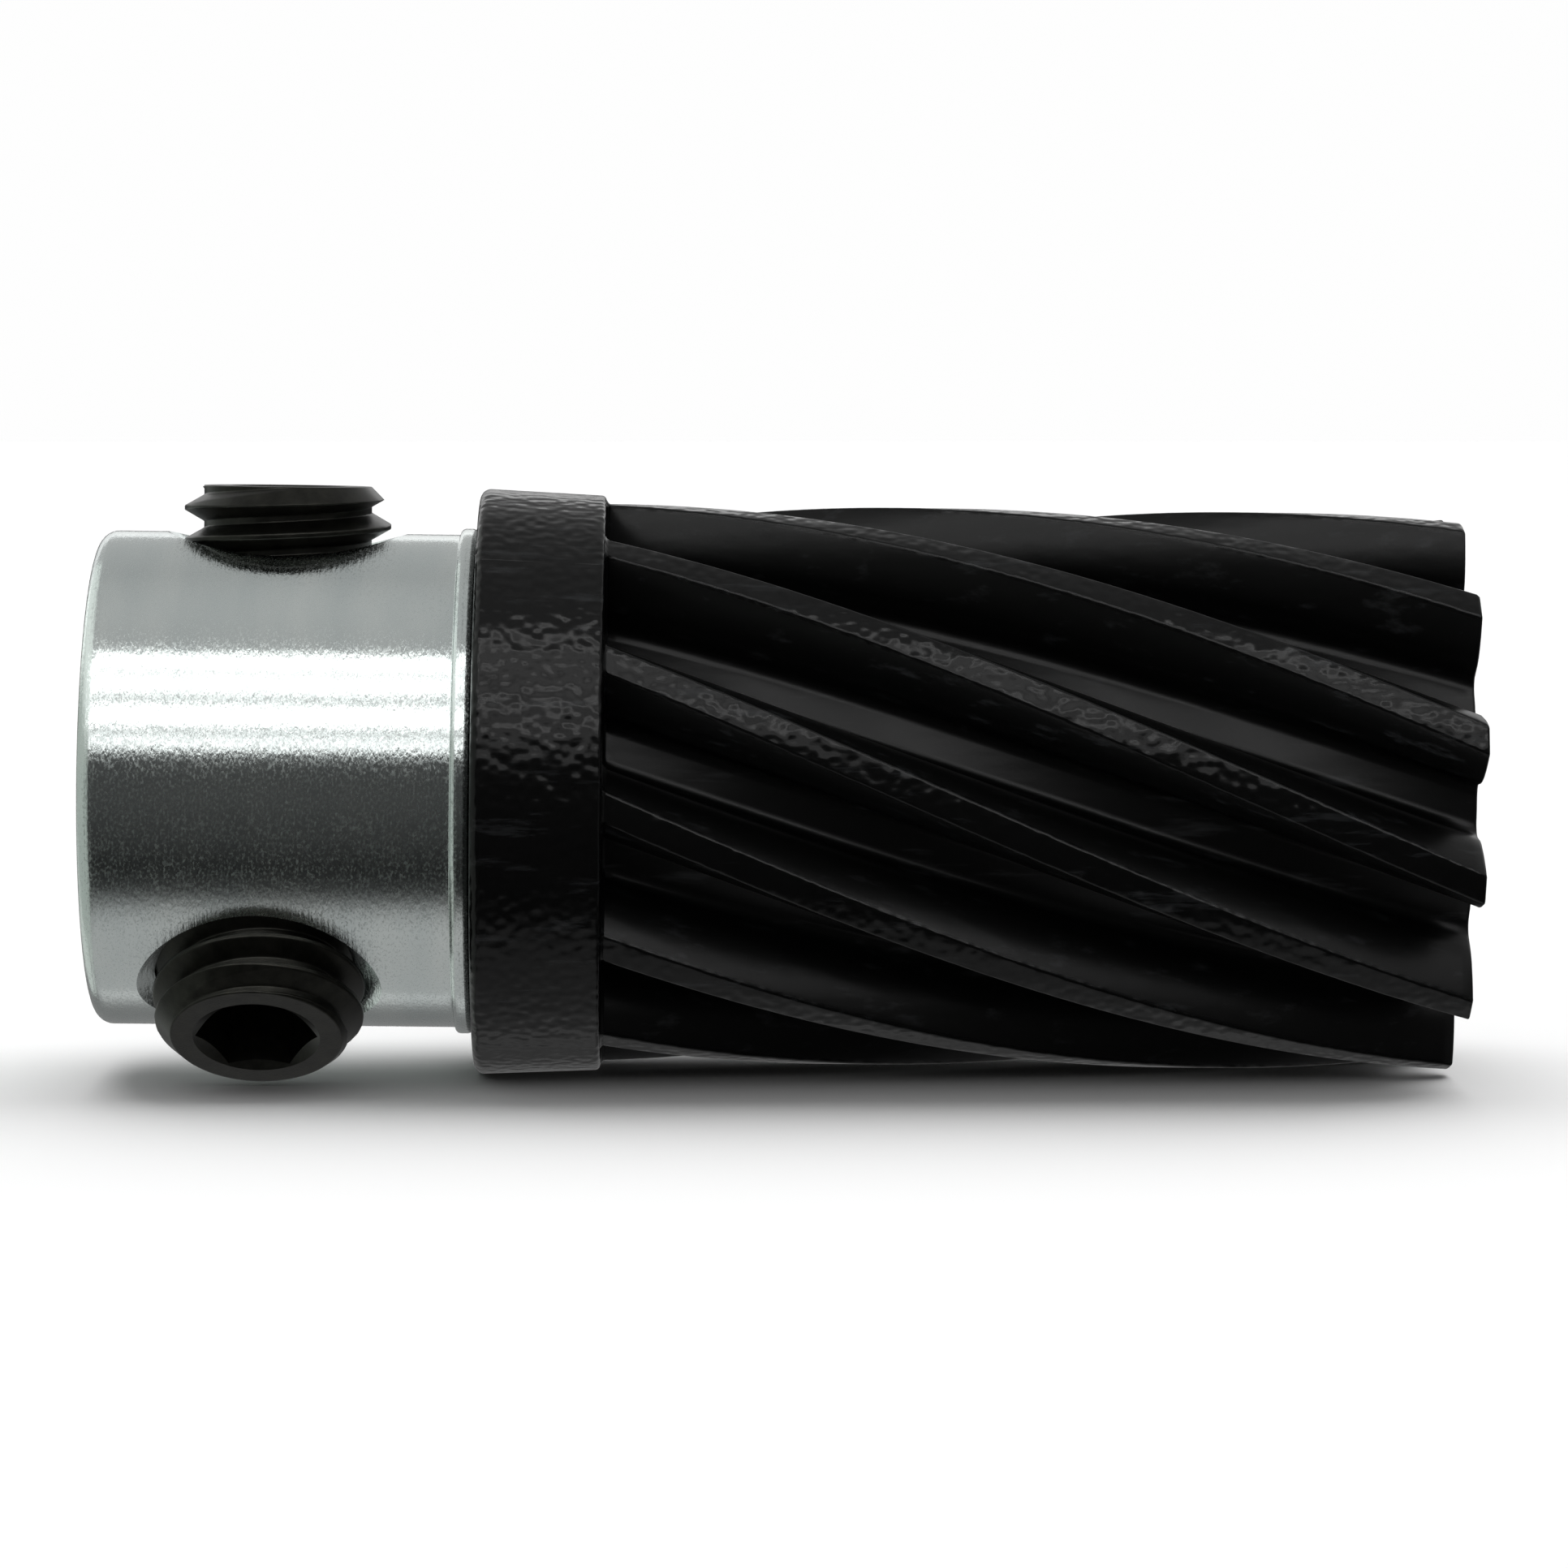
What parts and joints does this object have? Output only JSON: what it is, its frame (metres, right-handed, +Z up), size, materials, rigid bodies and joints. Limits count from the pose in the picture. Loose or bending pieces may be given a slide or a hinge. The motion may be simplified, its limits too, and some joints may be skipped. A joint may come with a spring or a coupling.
{
  "type": "helical pinion with set-screw hub",
  "caption": "Helical pinion of black moulded plastic with a plain collar, on a turned aluminium hub that set screws clamp to a shaft.",
  "frame": {"origin": "middle of the shaft bore at the hub's outer end face", "axes": "+X along the shaft from the hub's head to the teeth, +Z up along the upper set screw"},
  "size_m": [0.0329, 0.0142, 0.0142],
  "materials": {
    "turned_aluminium": "fine turned finish, bright clear-anodised silver",
    "black_plastic": "moulded black acetal with a soft sheen and a fine mottled skin",
    "black_oxide_steel": "black oxide, slightly oily"
  },
  "bodies": {
    "hub": {"hub": "turned_aluminium", "helical_pinion": "black_plastic"},
    "set_screw_upper": {"set_screw_upper": "black_oxide_steel"},
    "set_screw_lower": {"set_screw_lower": "black_oxide_steel"}
  },
  "joints": [
    {"name": "set_screw_upper_feed", "type": "slide", "parent": "hub", "child": "set_screw_upper", "axis": [0, 0, 1], "range_m": [-0.0016, 0.0016]},
    {"name": "set_screw_lower_feed", "type": "slide", "parent": "hub", "child": "set_screw_lower", "axis": [0, -0.6157, -0.788], "range_m": [-0.0016, 0.0016]}
  ]
}
